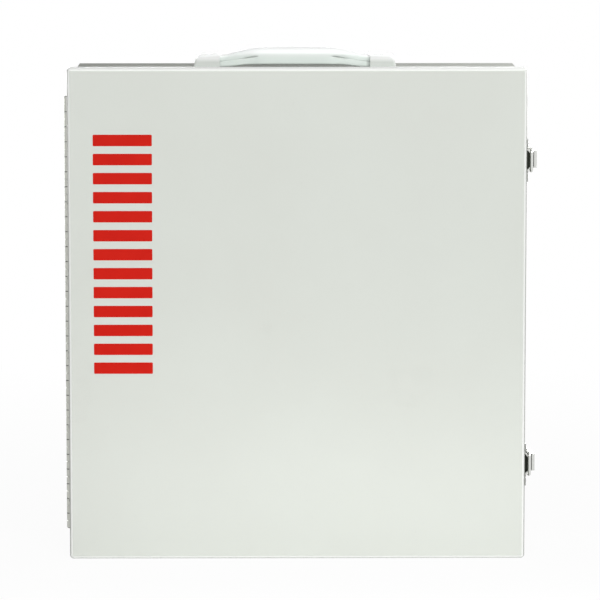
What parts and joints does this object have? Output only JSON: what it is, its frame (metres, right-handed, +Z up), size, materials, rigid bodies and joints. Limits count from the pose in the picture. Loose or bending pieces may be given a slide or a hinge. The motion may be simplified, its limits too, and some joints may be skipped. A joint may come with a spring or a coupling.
{
  "type": "first aid cabinet",
  "caption": "Wall-hung painted steel first aid cabinet with a piano-hinged pan door, wire draw latches, lipped shelves and a strap carry handle on top.",
  "frame": {"origin": "middle of the back's outer face, in the wall plane, at the centre of the wall holes", "axes": "+Z up, -Y out of the front of the door, +X towards the latches"},
  "size_m": [0.3799, 0.134, 0.4095],
  "materials": {
    "case_paint": "satin paint, pale warm grey",
    "door_paint": "satin paint, pale warm grey",
    "seal_foam": "closed-cell foam, matt",
    "hinge_steel": "zinc plated, satin",
    "rivet_metal": "satin",
    "latch_plate": "nickel plated, bright",
    "latch_wire": "nickel plated, bright",
    "handle_plastic": "moulded, soft gloss",
    "handle_strap": "flexible moulding, soft gloss",
    "inner_steel": "plain steel strip and screws"
  },
  "bodies": {
    "case": {"case_wrap": "case_paint", "case_side_left": "case_paint", "case_side_right": "case_paint", "shelf_upper": "case_paint", "shelf_middle": "case_paint", "shelf_lower": "case_paint", "shelf_rivets": "rivet_metal", "hinge_case_leaf": "hinge_steel", "hinge_pin": "hinge_steel", "hinge_case_rivets": "rivet_metal", "handle_cap_left": "handle_plastic", "handle_cap_right": "handle_plastic", "handle_backing_plates": "inner_steel", "handle_screws": "inner_steel", "latch_base_upper": "latch_plate", "latch_base_lower": "latch_plate", "latch_base_rivets": "rivet_metal", "latch_pin_upper": "latch_wire", "latch_pin_lower": "latch_wire"},
    "door": {"door_pan": "door_paint", "door_seal": "seal_foam", "door_guide_pocket": "door_paint", "hinge_door_leaf": "hinge_steel", "hinge_door_rivets": "rivet_metal", "keeper_upper": "latch_plate", "keeper_lower": "latch_plate", "keeper_rivets": "rivet_metal"},
    "upper_lever": {"latch_lever_upper": "latch_plate"},
    "upper_bail": {"latch_bail_upper": "latch_wire"},
    "lower_lever": {"latch_lever_lower": "latch_plate"},
    "lower_bail": {"latch_bail_lower": "latch_wire"},
    "handle_grip": {"handle_grip": "handle_plastic", "handle_core_strip": "inner_steel", "handle_neck_left": "handle_strap", "handle_neck_right": "handle_strap"},
    "left_tongue": {"handle_tongue_left": "inner_steel"},
    "right_tongue": {"handle_tongue_right": "inner_steel"}
  },
  "joints": [
    {"name": "door_hinge", "type": "hinge", "parent": "case", "child": "door", "pos_m": [-0.1845, -0.1187, 0], "axis": [0, 0, -1], "range_deg": [0, 180]},
    {"name": "upper_lever_pivot", "type": "hinge", "parent": "case", "child": "upper_lever", "pos_m": [0.1881, -0.1117, 0.1243], "axis": [0, 0, -1], "range_deg": [0, 120]},
    {"name": "upper_bail_pivot", "type": "hinge", "parent": "upper_lever", "child": "upper_bail", "pos_m": [0.1867, -0.1017, 0.1243], "axis": [0, 0, -1], "range_deg": [-120, 0]},
    {"name": "lower_lever_pivot", "type": "hinge", "parent": "case", "child": "lower_lever", "pos_m": [0.1881, -0.1117, -0.1227], "axis": [0, 0, -1], "range_deg": [0, 120]},
    {"name": "lower_bail_pivot", "type": "hinge", "parent": "lower_lever", "child": "lower_bail", "pos_m": [0.1867, -0.1017, -0.1227], "axis": [0, 0, -1], "range_deg": [-120, 0]},
    {"name": "handle_lift", "type": "slide", "parent": "case", "child": "handle_grip", "axis": [0, 0, 1], "range_m": [0, 0.018], "deforming": ["handle_neck_left", "handle_neck_right"]},
    {"name": "left_tongue_slide", "type": "slide", "parent": "case", "child": "left_tongue", "axis": [1, 0, 0], "range_m": [0, 0.007]},
    {"name": "right_tongue_slide", "type": "slide", "parent": "case", "child": "right_tongue", "axis": [-1, 0, 0], "range_m": [0, 0.007]}
  ],
  "couplings": [
    {"joint": "upper_bail_pivot", "follows": "upper_lever_pivot", "ratio": -1},
    {"joint": "lower_bail_pivot", "follows": "lower_lever_pivot", "ratio": -1},
    {"joint": "left_tongue_slide", "follows": "handle_lift", "ratio": 0.38},
    {"joint": "right_tongue_slide", "follows": "handle_lift", "ratio": 0.38}
  ]
}
